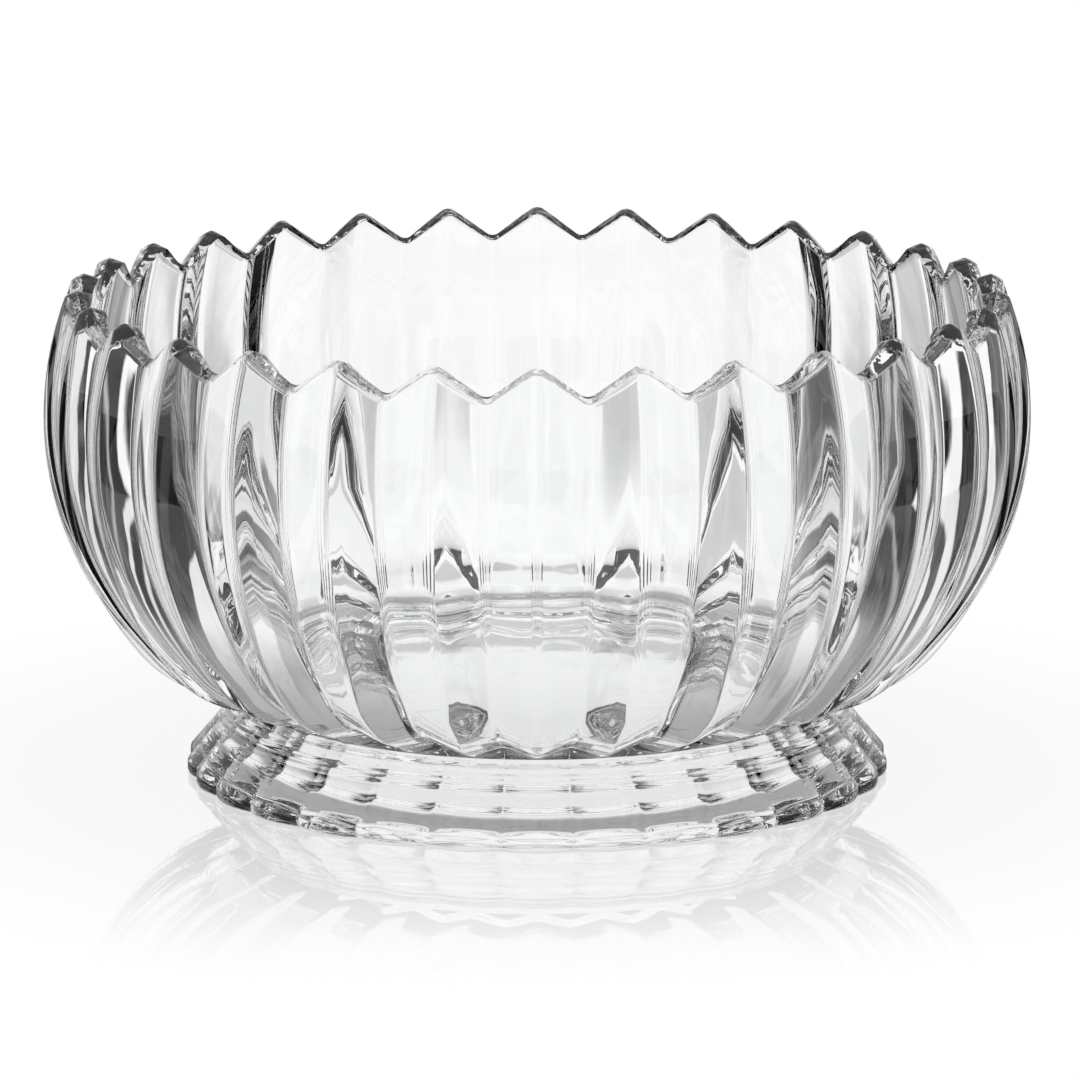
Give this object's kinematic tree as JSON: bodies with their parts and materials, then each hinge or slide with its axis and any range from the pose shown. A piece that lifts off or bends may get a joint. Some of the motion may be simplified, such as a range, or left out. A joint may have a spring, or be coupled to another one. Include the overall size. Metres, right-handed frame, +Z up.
{
  "type": "punch bowl",
  "caption": "Round footed punch bowl of clear pressed glass, with fluted sides and a toothed rim, standing on a low ribbed foot ring that it lifts off.",
  "frame": {"origin": "centre of the foot ring's resting face, on the bowl's axis", "axes": "+Z up along the bowl's axis; a tooth of the rim, a ridge of the bowl and a rib of the foot face -Y"},
  "size_m": [0.3044, 0.306, 0.153],
  "materials": {
    "clear_glass": "clear colourless pressed glass, fire polished to a high gloss"
  },
  "bodies": {
    "stand": {"stand": "clear_glass"},
    "bowl": {"bowl": "clear_glass"}
  },
  "joints": [
    {"name": "bowl_lift", "type": "slide", "parent": "stand", "child": "bowl", "axis": [0, 0, 1], "range_m": [0, 0.06]}
  ]
}
